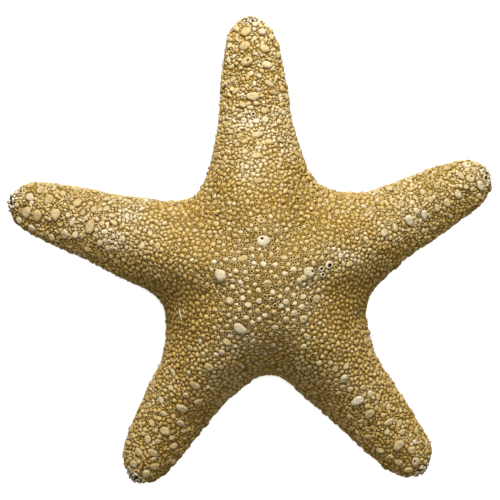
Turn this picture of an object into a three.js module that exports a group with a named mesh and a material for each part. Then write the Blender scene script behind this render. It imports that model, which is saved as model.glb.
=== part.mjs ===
// A dried five-armed sea star, lying on its mouth side.
// Millimetres, +Z up. The origin is under the middle of the star, on the surface it rests on.
// +Y runs along the longest arm, +X to the right, seen from above.
// The star grew in one piece, so it is one closed body: a domed disc that runs out into five
// arms, with a flat mouth side cut by the mouth and by one furrow under each arm.

import * as THREE from 'three';
import { mergeVertices } from 'three/addons/utils/BufferGeometryUtils.js';

// Middle of the disc, measured from the middle of the star's outer box.
const DISC_CENTRE = new THREE.Vector2(5.3, -13.1);

// Arms, counter-clockwise from the right-hand one. Reach is from the disc's middle to the tip.
// Bow is how far the arm's midline swings to its left, half way along.
const ARMS = [
  { reach: 93.8, heading: 26.7, bow: -1 },
  { reach: 100, heading: 92.8, bow: 0.2 },
  { reach: 100, heading: 161.6, bow: -1 },
  { reach: 87.5, heading: 236.7, bow: -2.2 },
  { reach: 92, heading: 310.3, bow: 0.1 },
];

// The deepest point of the margin between each arm and the next one counter-clockwise.
const NOTCHES = [
  { reach: 42.6, heading: 61.5 },
  { reach: 41.6, heading: 128 },
  { reach: 39, heading: 190 },
  { reach: 33.6, heading: 274.5 },
  { reach: 39.2, heading: 350 },
];

// Half widths of an arm, at distances back from its tip.
const ARM_WIDTHS = [
  { back: 46, half: 15.5 },
  { back: 34, half: 13.6 },
  { back: 22, half: 12.1 },
  { back: 11, half: 10.3 },
  { back: 4, half: 7 },
];

// Heights: an even slope from the disc's middle out to the tips, and a dome on top of it that
// reaches further along the arms than between them.
const SLOPE_HEIGHT = 21.5;
const SLOPE_REACH = 95;
const SLOPE_ROUNDING = 16;
const TIP_HEIGHT = 10.5;
const DOME_HEIGHT = 17;
const DOME_SPREAD_BETWEEN = 31;
const DOME_SPREAD_ON_ARM = 43;
const DOME_FLATNESS = 2.3;
const TIP_LIFT = 1.5;

// The margin is widest at this part of the slope's height, and rounds over within the shoulder.
const WIDEST_PART = 0.42;
const SHOULDER_WIDTH = 15;
const UNDERCUT = 4;

// Mouth side.
const FURROW_HALF_WIDTH = 4.5;
const FURROW_DEPTH = 3.5;
const MOUTH_RADIUS = 9;
const MOUTH_DEPTH = 7;

// The ribs' inner ends stop short of the tip, and the last ribs fan round that point.
const RIDGE_END_BACK = 9;

// Ribs between two neighbouring points of the margin, and points along each stretch of a rib.
const RIBS_PER_SPAN = 4;
const FLANK_STEPS = 7;
const UNDERCUT_STEPS = 3;
const SOLE_STEPS = 2;
const FURROW_STEPS = 3;
const MARGIN_SAMPLES = 600;

const FAN_SPAN = ARM_WIDTHS.length;
const SPANS = FAN_SPAN + 1;
const RIBS = SPANS * RIBS_PER_SPAN;
const MARGIN_SPANS = ARMS.length * 2 * SPANS;

const mix = (a, b, t) => a + (b - a) * t;

function polar(reach, degrees) {
  const angle = THREE.MathUtils.degToRad(degrees);
  return new THREE.Vector2(reach * Math.cos(angle), reach * Math.sin(angle));
}

// A point on an arm's midline, at a distance from the disc's middle.
function midline(arm, distance) {
  const part = distance / arm.reach;
  const sideways = polar(arm.bow * 4 * part * (1 - part), arm.heading + 90);
  return polar(distance, arm.heading).add(sideways);
}

// The way an arm's midline runs, at a distance from the disc's middle.
function midlineDirection(arm, distance) {
  return midline(arm, distance + 0.1).sub(midline(arm, distance - 0.1)).normalize();
}

// A point beside an arm's midline: side is 1 on its left and -1 on its right.
function besideMidline(arm, distance, side, offset) {
  const ahead = midlineDirection(arm, distance);
  const left = new THREE.Vector2(-ahead.y, ahead.x);
  return midline(arm, distance).addScaledVector(left, side * offset);
}

// The star's outline from above: one closed curve, counter-clockwise from the last notch.
function marginCurve() {
  const points = ARMS.flatMap((arm, index) => {
    const notch = NOTCHES.at(index - 1);
    const flank = (side) => ARM_WIDTHS.map(
      ({ back, half }) => besideMidline(arm, arm.reach - back, side, half),
    );
    return [
      polar(notch.reach, notch.heading),
      ...flank(-1),
      midline(arm, arm.reach),
      ...flank(1).toReversed(),
    ];
  });
  const corners = points.map((point) => new THREE.Vector3(point.x, point.y, 0));
  return new THREE.CatmullRomCurve3(corners, true, 'catmullrom', 0.5);
}

const margin = marginCurve();
const marginSamples = margin.getPoints(MARGIN_SAMPLES);

// Where a rib meets the margin. Rib 0 of either half arm ends in the notch, the last at the tip.
function marginPoint(armIndex, side, rib) {
  const tip = (armIndex * 2 + 1) * SPANS;
  const spans = tip + side * (SPANS - rib / RIBS_PER_SPAN);
  const point = margin.getPoint((spans % MARGIN_SPANS) / MARGIN_SPANS);
  return new THREE.Vector2(point.x, point.y);
}

// How far in from the margin a point lies, seen from above.
function marginDistance(point) {
  const here = new THREE.Vector3(point.x, point.y, 0);
  const nearest = new THREE.Vector3();
  const stretch = new THREE.Line3();
  let least = Infinity;
  for (let i = 0; i < MARGIN_SAMPLES; i += 1) {
    stretch.set(marginSamples[i], marginSamples[i + 1]);
    stretch.closestPointToPoint(here, true, nearest);
    least = Math.min(least, nearest.distanceTo(here));
  }
  return least;
}

// Turn from one heading to another, between -180 and 180 degrees.
function turnBetween(from, to) {
  return THREE.MathUtils.euclideanModulo(to - from + 180, 360) - 180;
}

// 1 over an arm's midline and 0 over the line to a notch, rounded off at both.
function armShare(armIndex, point) {
  const { heading } = ARMS[armIndex];
  const turn = turnBetween(heading, THREE.MathUtils.radToDeg(point.angle()));
  const notch = turn > 0 ? NOTCHES[armIndex] : NOTCHES.at(armIndex - 1);
  const part = Math.min(1, turn / turnBetween(heading, notch.heading));
  return 0.5 + 0.5 * Math.cos(Math.PI * part);
}

// Height of the even slope, rounded off over the disc, before the dome is added.
function slopeHeight(point) {
  return mix(SLOPE_HEIGHT, TIP_HEIGHT, Math.hypot(point.length(), SLOPE_ROUNDING) / SLOPE_REACH);
}

// Height of the back above a point.
function backHeight(armIndex, point) {
  const slope = slopeHeight(point);
  const widest = WIDEST_PART * slope;
  const spread = mix(DOME_SPREAD_BETWEEN, DOME_SPREAD_ON_ARM, armShare(armIndex, point));
  const dome = DOME_HEIGHT * Math.exp(-((point.length() / spread) ** DOME_FLATNESS));
  const inward = Math.min(1, marginDistance(point) / SHOULDER_WIDTH);
  return widest + (slope - widest + dome) * Math.sqrt(1 - (1 - inward) ** 2);
}

// Rounded hollow: 1 in its middle, 0 from its lip on.
function hollow(part) {
  return Math.cos((Math.PI / 2) * Math.min(1, part)) ** 2;
}

// How far out on an arm's midline a rib starts. The ribs bunch towards its end and then fan.
function ridgeDistance(arm, rib) {
  const part = Math.min(1, rib / RIBS_PER_SPAN / FAN_SPAN);
  return (arm.reach - RIDGE_END_BACK) * part * (1.45 - 0.45 * part);
}

// Sine of the angle between a rib and its arm's midline. A rib between two arms stands half of
// a fifth of a turn from both, and past the furrow's end its lip is a half circle.
function acrossness(arm, rib, distance, outward) {
  if (rib === 0) return Math.sin(Math.PI / ARMS.length);
  if (rib > FAN_SPAN * RIBS_PER_SPAN) return 1;
  return Math.abs(midlineDirection(arm, distance).cross(outward));
}

// The points of one rib, from the ridge down the flank, round the margin and in to the furrow.
function ribPoints(armIndex, side, rib) {
  const arm = ARMS[armIndex];
  const distance = ridgeDistance(arm, rib);
  const start = midline(arm, distance);
  const end = marginPoint(armIndex, side, rib);
  const length = start.distanceTo(end);
  const outward = end.clone().sub(start).divideScalar(length);
  const lift = TIP_LIFT * THREE.MathUtils.smoothstep(rib / RIBS_PER_SPAN, 2, SPANS);
  const widest = WIDEST_PART * slopeHeight(end);
  const points = [];
  const along = (reach) => start.clone().addScaledVector(outward, reach);
  const put = (place, height) => {
    points.push(new THREE.Vector3(place.x, place.y, height + lift));
  };

  for (let step = 0; step < FLANK_STEPS; step += 1) {
    const place = along(length * Math.sin((Math.PI / 2) * (step / FLANK_STEPS)));
    put(place, backHeight(armIndex, place));
  }
  for (let step = 0; step <= UNDERCUT_STEPS; step += 1) {
    const turn = (Math.PI / 2) * (step / UNDERCUT_STEPS);
    put(along(length - UNDERCUT * (1 - Math.cos(turn))), widest * (1 - Math.sin(turn)));
  }

  const lip = FURROW_HALF_WIDTH / acrossness(arm, rib, distance, outward);
  for (let step = 1; step <= SOLE_STEPS; step += 1) {
    put(along(mix(length - UNDERCUT, lip, step / SOLE_STEPS)), 0);
  }
  for (let step = 1; step <= FURROW_STEPS; step += 1) {
    const part = 1 - step / FURROW_STEPS;
    const place = along(lip * part);
    const mouth = MOUTH_DEPTH * hollow(place.length() / MOUTH_RADIUS);
    put(place, Math.max(FURROW_DEPTH * hollow(part), mouth));
  }
  return points;
}

// Every half arm is one net of four-sided cells between its ribs.
function starGeometry() {
  const corners = [];
  const cell = (a, b, c, d) => {
    for (const point of [a, b, c, a, c, d]) corners.push(point.x, point.y, point.z);
  };
  ARMS.forEach((arm, armIndex) => {
    for (const side of [1, -1]) {
      const ribs = [];
      for (let rib = 0; rib <= RIBS; rib += 1) ribs.push(ribPoints(armIndex, side, rib));
      for (let rib = 0; rib < RIBS; rib += 1) {
        const [near, far] = side > 0 ? [ribs[rib + 1], ribs[rib]] : [ribs[rib], ribs[rib + 1]];
        for (let step = 0; step < near.length - 1; step += 1) {
          cell(near[step], near[step + 1], far[step + 1], far[step]);
        }
      }
    }
  });
  return closedBody(corners);
}

// Merges shared corners and drops the halves of cells that shrink to nothing where ribs fan.
function closedBody(corners) {
  const loose = new THREE.BufferGeometry();
  loose.setAttribute('position', new THREE.Float32BufferAttribute(corners, 3));
  const body = mergeVertices(loose, 1e-3);
  const index = body.getIndex().array;
  const kept = [];
  for (let i = 0; i < index.length; i += 3) {
    const [a, b, c] = index.slice(i, i + 3);
    if (a !== b && b !== c && c !== a) kept.push(a, b, c);
  }
  body.setIndex(kept);
  body.translate(DISC_CENTRE.x, DISC_CENTRE.y, 0);
  body.computeVertexNormals();
  return body;
}

const driedSkin = new THREE.MeshStandardMaterial({
  color: 0xa18959,
  roughness: 0.75,
  metalness: 0,
});

const starfish = new THREE.Mesh(starGeometry(), driedSkin);
starfish.name = 'starfish';

const star = new THREE.Group();
star.add(starfish);

export default star;
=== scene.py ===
"""A dried five-armed sea star with a granular skin, lying on its mouth side."""

import math
from collections import namedtuple

import bmesh
import bpy
import numpy as np
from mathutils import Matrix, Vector
from mathutils.bvhtree import BVHTree
from mathutils.kdtree import KDTree


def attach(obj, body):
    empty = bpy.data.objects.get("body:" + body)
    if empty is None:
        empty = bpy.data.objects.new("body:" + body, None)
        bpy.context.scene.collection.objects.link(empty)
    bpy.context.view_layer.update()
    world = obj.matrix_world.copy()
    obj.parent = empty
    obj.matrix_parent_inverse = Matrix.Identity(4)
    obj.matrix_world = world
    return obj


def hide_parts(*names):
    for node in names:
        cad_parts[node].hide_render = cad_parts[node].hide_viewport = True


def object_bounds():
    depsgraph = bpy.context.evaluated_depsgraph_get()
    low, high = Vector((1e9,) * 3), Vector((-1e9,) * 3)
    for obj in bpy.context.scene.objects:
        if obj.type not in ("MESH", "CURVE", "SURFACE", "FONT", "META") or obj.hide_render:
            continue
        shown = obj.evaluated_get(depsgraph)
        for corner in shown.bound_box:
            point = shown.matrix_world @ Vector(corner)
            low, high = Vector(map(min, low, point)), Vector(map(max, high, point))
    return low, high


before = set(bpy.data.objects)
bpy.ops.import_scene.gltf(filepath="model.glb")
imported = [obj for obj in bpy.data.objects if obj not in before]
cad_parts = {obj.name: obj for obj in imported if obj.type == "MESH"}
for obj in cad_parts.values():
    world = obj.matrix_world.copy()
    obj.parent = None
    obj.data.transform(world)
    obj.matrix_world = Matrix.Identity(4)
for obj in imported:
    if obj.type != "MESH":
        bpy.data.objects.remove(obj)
cad_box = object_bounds()

MM = 0.001
BOX_LOW = np.array(list(cad_box[0])) / MM
BOX_HIGH = np.array(list(cad_box[1])) / MM
rng = np.random.default_rng(26)

# The star's layout, as in the solid, in millimetres and degrees: the disc's middle, then each
# arm's name, reach, heading and bow, and the heading of the notch that follows it.
DISC_CENTRE = np.array([5.3, -13.1])
ARM_NAMES = ("right", "top", "left", "lower_left", "lower_right")
REACH = np.array([93.8, 100.0, 100.0, 87.5, 92.0])
HEADING = np.array([26.7, 92.8, 161.6, 236.7, 310.3])
BOW = np.array([-1.0, 0.2, -1.0, -2.2, 0.1])
NOTCH = np.array([61.5, 128.0, 190.0, 274.5, 350.0])
FURROW_END_BACK = 9.0
FURROW_HALF_WIDTH = 4.5
MOUTH_RADIUS = 9.0

# The photograph's frame: the star is 488 of its 500 pixels wide, seen from straight above.
PHOTO_PX = 500
MM_PER_PX = 180 / 488
STAR_MIDDLE_PX = np.array([249.5, 249.0])
LENS = 85.0
SENSOR = 36.0
WIDEST_LEVEL = 6.0

# The skin lies this far inside the solid, so that the granules' tops reach its surface.
SKIN_INSET = 0.85
SPOTS_PER_SQUARE_MM = 18


# Camera


def camera_place():
    """The camera's place, in millimetres: it frames the star as the photograph does."""
    width = PHOTO_PX * MM_PER_PX
    offset = (PHOTO_PX / 2 - STAR_MIDDLE_PX) * MM_PER_PX
    return np.array([offset[0], -offset[1], WIDEST_LEVEL + width * LENS / SENSOR])


def new_object(name, data):
    made = bpy.data.objects.new(name, data)
    bpy.context.scene.collection.objects.link(made)
    return made


def make_camera():
    data = bpy.data.cameras.new("camera")
    data.lens = LENS
    data.sensor_width = SENSOR
    data.clip_start = 0.01
    camera = new_object("camera", data)
    camera.location = Vector(camera_place() * MM)
    bpy.context.scene.camera = camera


def in_photo(places):
    """Where places, in millimetres, show in the photograph, in pixels."""
    off = places - camera_place()
    scale = PHOTO_PX * LENS / SENSOR / -off[:, 2]
    return np.column_stack([PHOTO_PX / 2 + off[:, 0] * scale, PHOTO_PX / 2 - off[:, 1] * scale])


# Small maths


def smoothstep(value, low, high):
    part = np.clip((value - low) / (high - low), 0, 1)
    return part * part * (3 - 2 * part)


def mix(a, b, share):
    return a + (b - a) * share


def level(turn):
    """A unit vector in plan, this many radians round from the right."""
    return np.array([math.cos(turn), math.sin(turn), 0.0])


def unit(vectors):
    return vectors / np.maximum(np.linalg.norm(vectors, axis=-1, keepdims=True), 1e-9)


def turn_between(start, end):
    return (end - start + 180) % 360 - 180


def waves(places, scale, seed):
    """A smooth random field over places, about -1 to 1, with features of about this size."""
    draw = np.random.default_rng(seed)
    total = np.zeros(len(places))
    for _ in range(9):
        direction = unit(draw.normal(size=3)) * draw.uniform(0.7, 1.6)
        total += np.sin(places @ direction * (2 * math.pi / scale) + draw.uniform(0, 6.3))
    return total / 3.6


class Layout:
    """Where places on the star lie in its plan: which arm, how far out, and how far aside."""

    def __init__(self, places):
        flat = places[:, :2] - DISC_CENTRE
        self.radius = np.linalg.norm(flat, axis=1)
        angle = np.degrees(np.arctan2(flat[:, 1], flat[:, 0]))
        past = (angle[:, None] - NOTCH[None, :]) % 360
        self.arm = (past.argmin(1) + 1) % len(REACH)
        turn = turn_between(HEADING[self.arm], angle)
        towards = np.where(turn > 0, NOTCH[self.arm], NOTCH[self.arm - 1])
        part = np.clip(turn / turn_between(HEADING[self.arm], towards), 0, 1)
        self.arm_share = 0.5 + 0.5 * np.cos(math.pi * part)
        heading = np.radians(HEADING[self.arm])
        ahead = np.stack([np.cos(heading), np.sin(heading)], 1)
        left = np.stack([-ahead[:, 1], ahead[:, 0]], 1)
        self.along = (flat * ahead).sum(1)
        out = np.clip(self.along / REACH[self.arm], 0, 1)
        self.aside = (flat * left).sum(1) - BOW[self.arm] * 4 * out * (1 - out)
        self.back = REACH[self.arm] - self.along
        self.left = np.column_stack([left, np.zeros(len(flat))])
        outward = unit(flat)
        self.round = np.column_stack([-outward[:, 1], outward[:, 0], np.zeros(len(flat))])


def midline(arm, distance):
    """A place on an arm's midline, in plan."""
    ahead = level(math.radians(HEADING[arm]))[:2]
    left = np.array([-ahead[1], ahead[0]])
    part = distance / REACH[arm]
    return DISC_CENTRE + ahead * distance + left * BOW[arm] * 4 * part * (1 - part)


# Skin


def smooth_body(node):
    """The solid's mesh made into smooth quads. Returns a new mesh object, in metres."""
    body = bmesh.new()
    body.from_mesh(node.data)
    bmesh.ops.remove_doubles(body, verts=body.verts, dist=1e-6)
    bmesh.ops.join_triangles(
        body, faces=body.faces, angle_face_threshold=1.2, angle_shape_threshold=1.5
    )
    mesh = bpy.data.meshes.new("starfish_skin")
    body.to_mesh(mesh)
    body.free()
    skin = new_object("starfish_skin", mesh)
    smoother = skin.modifiers.new("smooth", "SUBSURF")
    smoother.levels = 1
    smoother.render_levels = 1
    depsgraph = bpy.context.evaluated_depsgraph_get()
    fine = bpy.data.meshes.new_from_object(skin.evaluated_get(depsgraph))
    skin.modifiers.clear()
    skin.data = fine
    fine.polygons.foreach_set("use_smooth", np.ones(len(fine.polygons), bool))
    return skin


def read_vertices(mesh):
    """A mesh's vertices in millimetres, and their normals."""
    places = np.empty(len(mesh.vertices) * 3, np.float32)
    normals = np.empty(len(mesh.vertices) * 3, np.float32)
    mesh.vertices.foreach_get("co", places)
    mesh.vertices.foreach_get("normal", normals)
    return places.reshape(-1, 3).astype(float) / MM, normals.reshape(-1, 3).astype(float)


def write_vertices(mesh, places):
    mesh.vertices.foreach_set("co", (places * MM).astype(np.float32).ravel())
    mesh.update()


def tip_gape(places, lay):
    """1 at the arms' very ends, where the gaps are painted in black shade, and 0 elsewhere."""
    return 1 - smoothstep(np.hypot(lay.back - 0.8, lay.aside * 0.7), 2.0, 4.2)


def shape_skin(skin):
    """Draws the skin in below the granules and gives it slow, uneven swells."""
    places, normals = read_vertices(skin.data)
    swell = 0.18 * waves(places, 17, 3) + 0.14 * waves(places, 7, 4) + 0.16 * waves(places, 3.6, 11)
    swell *= smoothstep(normals[:, 2], -0.6, 0.2)
    depth = SKIN_INSET - swell
    places -= normals * depth[:, None]
    write_vertices(skin.data, places)
    lay = Layout(places)
    # Painted shade: the skin turns black in the gaps at the arms' ends and in the mouth.
    mouth = (1 - smoothstep(lay.radius, 3, 6.5)) * (places[:, 2] < 12)
    dark = np.maximum(tip_gape(places, lay), mouth)
    set_look(skin.data, np.column_stack([dark, np.zeros((len(places), 3))]))


def scatter_spots(mesh, seed):
    """Random places all over a mesh, evenly by area, with smooth normals."""
    mesh.calc_loop_triangles()
    triangles = np.empty(len(mesh.loop_triangles) * 3, np.int32)
    mesh.loop_triangles.foreach_get("vertices", triangles)
    triangles = triangles.reshape(-1, 3)
    places, normals = read_vertices(mesh)
    a, b, c = (places[triangles[:, i]] for i in range(3))
    area = np.linalg.norm(np.cross(b - a, c - a), axis=1) / 2
    draw = np.random.default_rng(seed)
    count = int(area.sum() * SPOTS_PER_SQUARE_MM)
    chosen = draw.choice(len(area), count, p=area / area.sum())
    u, v = draw.random((2, count))
    over = u + v > 1
    u[over], v[over] = 1 - u[over], 1 - v[over]
    parts = np.stack([1 - u - v, u, v], 1)[:, :, None]
    corners = triangles[chosen]
    return (places[corners] * parts).sum(1), unit((normals[corners] * parts).sum(1))


# Granules


class Bed:
    """Spots all over the skin, each with the room left round it for a granule."""

    FREE = 9.0

    def __init__(self, places, normals):
        self.places = places
        self.normals = normals
        self.layout = Layout(places)
        self.room = np.full(len(places), self.FREE)
        self.tree = KDTree(len(places))
        for index, place in enumerate(places):
            self.tree.insert(place, index)
        self.tree.balance()
        self.order = rng.permutation(len(places))

    def take(self, place, normal, way, long, wide, reach):
        """Marks the room that a granule takes. long and wide are its half sizes."""
        found = self.tree.find_range(place, max(long, wide) + reach)
        near = np.fromiter((item[1] for item in found), int, len(found))
        if 0.9 < long / wide < 1.1:
            gap = np.fromiter((item[2] for item in found), float, len(found)) - long
        else:
            off = self.places[near] - place
            cross_way = np.cross(normal, way)
            out = np.sqrt(
                (off @ way / long) ** 2
                + (off @ cross_way / wide) ** 2
                + (off @ normal / wide) ** 2
            )
            far = np.linalg.norm(off, axis=1)
            gap = far * (1 - 1 / np.maximum(out, 1e-6))
        self.room[near] = np.minimum(self.room[near], gap)

    def nearest(self, place):
        return self.tree.find(place)[1]

    def has_length(self, place, way, long, wide):
        """Whether there is also room at both ends of a long granule."""
        if long < 1.2 * wide:
            return True
        ends = (place + way * (long - wide), place - way * (long - wide))
        return all(self.room[self.nearest(end)] >= wide for end in ends)


class Granules:
    """A growing list of granules: place, frame, half sizes, height, tone, pores and hole."""

    def __init__(self, rows=()):
        self.rows = list(rows)

    def add(self, place, normal, way, long, wide, high, tone, pores=0.0, hole=(0.0, 0.0)):
        self.rows.append((*place, *normal, *way, long, wide, high, tone, pores, *hole))

    def columns(self):
        rows = np.array(self.rows)
        normal = unit(rows[:, 3:6])
        way = rows[:, 6:9]
        way = unit(way - (way * normal).sum(1, keepdims=True) * normal)
        return rows[:, :3], normal, way, *rows[:, 9:].T

    def pick(self, chosen):
        """The granules chosen by a mask."""
        return Granules(row for row, yes in zip(self.rows, chosen) if yes)

    def by_arm(self):
        """A list for each arm."""
        arm = Layout(np.array(self.rows)[:, :3]).arm
        return [self.pick(arm == number) for number in range(len(REACH))]


def fill(bed, allowed, long, wide, ways, high, tone, spacing, reach, pores=0.0):
    """Sets granules on allowed spots in random order, each where its wanted size has room.
    The values are arrays over the spots, or one number for all. Returns the granules."""
    granules = Granules()
    tone, spacing, pores = (np.broadcast_to(v, len(long)) for v in (tone, spacing, pores))
    need = np.sqrt(long * wide) * spacing
    for spot in bed.order[allowed[bed.order]]:
        room = bed.room[spot]
        if room < need[spot] * 0.8:
            continue
        shrink = min(1.0, room / need[spot])
        a, b = long[spot] * shrink, wide[spot] * shrink
        place, normal = bed.places[spot], bed.normals[spot]
        way = ways[spot] - normal * (ways[spot] @ normal)
        way /= max(np.linalg.norm(way), 1e-9)
        if not bed.has_length(place, way, a, b):
            continue
        granules.add(place, normal, way, a, b, high[spot] * shrink, tone[spot], pores[spot])
        bed.take(place, normal, way, a, b, reach)
    return granules


# A granule's shape: its sides, how uneven it is, its rings from the foot up, its crown and its
# foot's rise. Each ring has its reach as a part of the half size, its height as a part of the
# granule's own, its rise, and how far the hole's offset moves it. The crown has height and
# rise. The rise colours a granule: 0 with painted shade in the crevice at its foot, 1 at its
# crest, -1 with painted shade in a hole.
Shape = namedtuple(
    "Shape", "sides uneven rings crown foot_rise", defaults=((), (1.0, 1.0), 0.0)
)
SAND = Shape(5, 0.28)
CRUMB = Shape(6, 0.28)
CRATER = Shape(6, 0.16, ((0.98, 0.85, 0.6, 0), (0.68, 1.0, 0.8, 0)), (0.10, -3.0), 0.3)
PEBBLE = Shape(7, 0.26, ((0.82, 0.55, 0.6, 0),), (1.0, 1.0), 0.1)
CHIP = Shape(8, 0.20, ((0.93, 0.36, 0.45, 0), (0.66, 0.88, 0.95, 0)), (1.0, 1.0), 0.1)
BEAD = Shape(8, 0.17, ((0.88, 0.26, 0.4, 0), (0.56, 0.80, 0.9, 0)), (1.0, 1.0), 0.15)
ROUND = Shape(12, 0.10, ((0.93, 0.30, 0.4, 0), (0.72, 0.70, 0.8, 0), (0.40, 0.94, 1.0, 0)),
              (1.0, 1.0), 0.15)
PLATE = Shape(9, 0.20, ((0.98, 0.30, 0.4, 0), (0.72, 0.90, 0.9, 0)), (0.95, 1.0))
DOME_RINGS = (
    (0.99, 0.14, 0.2, 0), (0.92, 0.50, 0.6, 0), (0.74, 0.86, 0.9, 0),
    (0.42, 1.0, 1.0, 0), (0.2, 0.97, 1.0, 0),
)
DOME = Shape(18, 0.10, DOME_RINGS, (0.93, 1.0))
OVAL = Shape(13, 0.10, DOME_RINGS, (0.93, 1.0))
SLIT = Shape(
    10, 0.14, ((0.98, 0.8, 0.6, 0), (0.72, 1.0, 0.9, 0), (0.58, 0.5, -1.0, 0)), (0.10, -1.0), 0.3
)
PINHOLED = Shape(18, 0.08, (
    (0.99, 0.16, 0.2, 0), (0.90, 0.55, 0.6, 0), (0.68, 0.92, 0.9, 0.4),
    (0.24, 1.0, 1.0, 1), (0.17, 0.8, -1.0, 1), (0.13, 0.1, -1.0, 1),
), (-0.1, -1.0))
PIERCED = Shape(18, 0.08, (
    (0.99, 0.16, 0.2, 0), (0.93, 0.65, 0.8, 0.3), (0.74, 1.0, 1.0, 0.8),
    (0.52, 0.85, 0.6, 1), (0.44, 0.5, -1.0, 1), (0.38, 0.1, -1.0, 1),
), (-0.1, -1.0))


def granule_points(granules, shape, draw):
    """Every granule's vertices, ring by ring and then the crown, and their rises."""
    place, normal, way, long, wide, high, *_, hole_x, hole_y = granules.columns()
    sides, count, rows = shape.sides, len(place), len(shape.rings) + 1
    cross_way = np.cross(normal, way)
    turn = 2 * math.pi * (np.arange(sides)[None, :] + draw.random((count, 1))) / sides
    phase = draw.uniform(0, 2 * math.pi, (3, count, 1))
    wobble = 1 + shape.uneven * (
        0.6 * np.sin(2 * turn + phase[0]) + 0.5 * np.sin(3 * turn + phase[1])
        + 0.35 * np.sin(5 * turn + phase[2]) + draw.normal(0, 0.35, (count, sides))
    )
    lean = draw.normal(0, 1.2 * shape.uneven, (2, count, 1))
    slant = 1 + lean[0] * np.cos(turn) + lean[1] * np.sin(turn)
    foot = np.minimum(0.25 + 0.25 * long, 0.7)
    points = np.zeros((count, rows * sides + 1, 3))
    rises = np.zeros((count, rows * sides + 1))
    foot_ring = (1.0, None, shape.foot_rise, 0)
    for row, (reach, height, rise, slide) in enumerate((foot_ring, *shape.rings)):
        x = long[:, None] * reach * wobble * np.cos(turn) + hole_x[:, None] * slide
        y = wide[:, None] * reach * wobble * np.sin(turn) + hole_y[:, None] * slide
        rough = 1 + draw.normal(0, 0.5 * shape.uneven, (count, sides))
        z = -foot[:, None] + 0 * x if height is None else high[:, None] * height * slant * rough
        part = slice(row * sides, (row + 1) * sides)
        points[:, part] = (
            x[..., None] * way[:, None] + y[..., None] * cross_way[:, None]
            + z[..., None] * normal[:, None]
        )
        rises[:, part] = rise
    crown_height, rises[:, -1] = shape.crown
    top = draw.normal(0, shape.uneven if shape.crown[1] > 0 else 0, (2, count)) * wide
    points[:, -1] = (
        (hole_x + top[0])[:, None] * way + (hole_y + top[1])[:, None] * cross_way
        + (crown_height * high)[:, None] * normal
    )
    return np.clip(points + place[:, None], BOX_LOW, BOX_HIGH), rises


def granule_mesh(name, granules, shape):
    """One joined mesh of closed granules of this shape, coloured by the look attribute: rise,
    tone, a random number and, in its alpha, pores."""
    tone, pores = granules.columns()[6:8]
    sides, count, rows = shape.sides, len(tone), len(shape.rings) + 1
    draw = np.random.default_rng(count)
    points, rises = granule_points(granules, shape, draw)
    values = (tone, draw.random(count), pores)
    alike = [np.repeat(value[:, None], rises.shape[1], 1) for value in values]
    piece = mesh_piece(name, points.reshape(-1, 3), *granule_faces(count, sides, rows))
    set_look(piece.data, np.stack([rises, *alike], -1).reshape(-1, 4))
    set_bake_map(piece.data, count, sides, rows)
    return piece


def outer_faces(sides, rows):
    """Vertex numbers of one granule's walls and crown, face by face, without its foot."""
    ring = np.arange(sides)
    after = np.roll(ring, -1)
    walls = [
        np.stack([ring, after, after + sides, ring + sides], 1) + row * sides
        for row in range(rows - 1)
    ]
    top = (rows - 1) * sides
    crown = np.stack([ring + top, after + top, np.full(sides, rows * sides)], 1)
    return np.concatenate([*(wall.ravel() for wall in walls), crown.ravel()])


def granule_faces(count, sides, rows):
    """Vertex numbers face by face, and where each face starts."""
    one = np.concatenate([outer_faces(sides, rows), np.arange(sides)[::-1]])
    lengths = np.array([4] * (sides * (rows - 1)) + [3] * sides + [sides])
    begin = np.concatenate([[0], np.cumsum(lengths)[:-1]])
    corner = (np.arange(count) * (rows * sides + 1))[:, None]
    loops = (one[None, :] + corner).ravel()
    starts = (begin[None, :] + (np.arange(count) * len(one))[:, None]).ravel()
    return loops, starts


def set_bake_map(mesh, count, sides, rows):
    """A map where each granule is a round patch in a square of its own."""
    across = math.ceil(math.sqrt(count))
    angle = 2 * math.pi * np.arange(sides) / sides
    circle = np.stack([np.cos(angle), np.sin(angle)], 1)
    reach = 0.44 * (rows - np.arange(rows)) / rows
    spot = np.concatenate([*(circle * r for r in reach), [[0.0, 0.0]]]) + 0.5
    one = np.concatenate([spot[outer_faces(sides, rows)], circle[::-1] * 0.05 + 0.06])
    cell = np.arange(count)
    corner = np.stack([cell % across, cell // across], 1)
    uv = (one[None, :, :] + corner[:, None, :]) / across
    layer = mesh.uv_layers.new(name="OFBake")
    layer.uv.foreach_set("vector", uv.astype(np.float32).ravel())


def mesh_piece(name, points, loops, starts):
    """A smooth-shaded mesh object from vertices in millimetres and faces as flat arrays."""
    mesh = bpy.data.meshes.new(name)
    mesh.vertices.add(len(points))
    mesh.vertices.foreach_set("co", (points * MM).astype(np.float32).ravel())
    mesh.loops.add(len(loops))
    mesh.loops.foreach_set("vertex_index", loops.astype(np.int32))
    mesh.polygons.add(len(starts))
    mesh.polygons.foreach_set("loop_start", starts.astype(np.int32))
    mesh.polygons.foreach_set("use_smooth", np.ones(len(starts), bool))
    mesh.update(calc_edges=True)
    return new_object(name, mesh)


def set_look(mesh, values):
    layer = mesh.attributes.new("look", "FLOAT_COLOR", "POINT")
    layer.data.foreach_set("color", values.astype(np.float32).ravel())


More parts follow.
